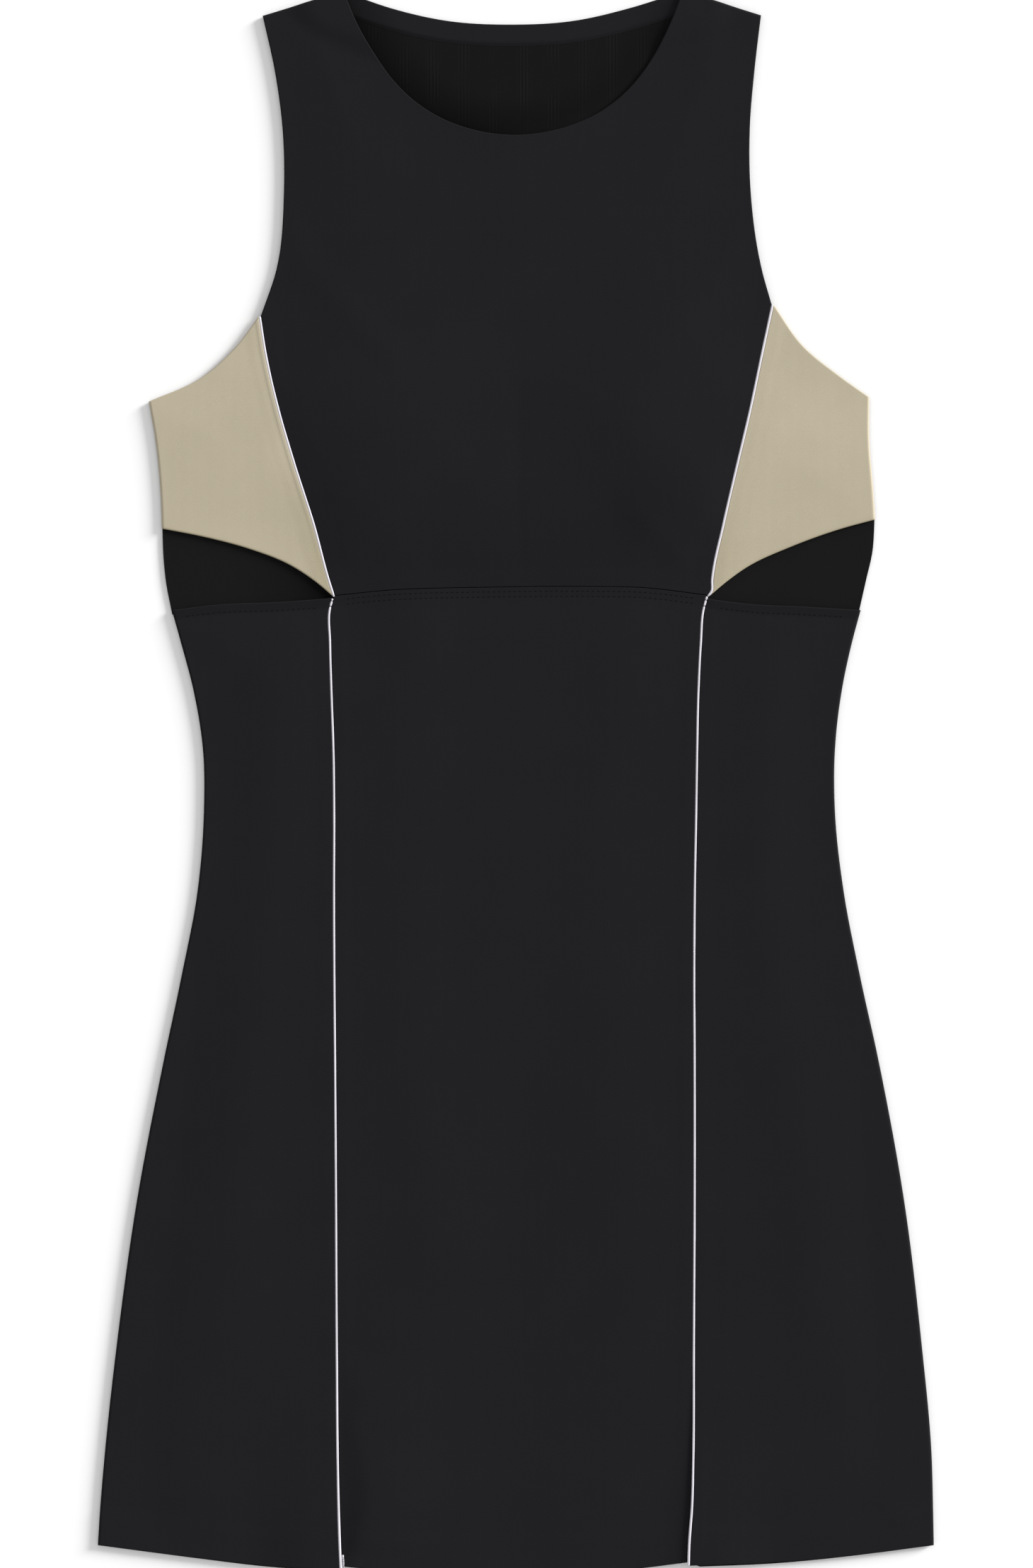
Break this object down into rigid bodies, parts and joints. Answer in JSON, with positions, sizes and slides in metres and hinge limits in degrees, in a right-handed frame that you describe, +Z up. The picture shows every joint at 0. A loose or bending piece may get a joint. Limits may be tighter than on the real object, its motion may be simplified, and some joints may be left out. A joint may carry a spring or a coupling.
{
  "type": "sleeveless jersey dress",
  "caption": "Sleeveless A-line jersey dress laid flat on its back: black with stone side panels, white piping, scoop neck, waist cut-outs and a slit skirt.",
  "frame": {"origin": "under the middle of the dress, on the surface that it lies on", "axes": "+Z up from the surface to the front of the dress, +Y along the dress to the shoulders, +X to the right of a viewer who looks down on it"},
  "size_m": [0.461, 0.8737, 0.0056],
  "materials": {
    "black_jersey": "matt smooth knit",
    "stone_jersey": "matt smooth knit",
    "white_piping": "soft satin cord"
  },
  "bodies": {
    "root": {"back_bodice": "black_jersey", "back_skirt": "black_jersey", "back_neck_band": "black_jersey", "front_bodice": "black_jersey", "side_panel_left": "stone_jersey", "side_panel_right": "stone_jersey", "skirt_front": "black_jersey", "skirt_side_left": "black_jersey", "skirt_side_right": "black_jersey", "bodice_piping_left": "white_piping", "bodice_piping_right": "white_piping", "skirt_piping_left": "white_piping", "skirt_piping_right": "white_piping"}
  },
  "joints": []
}
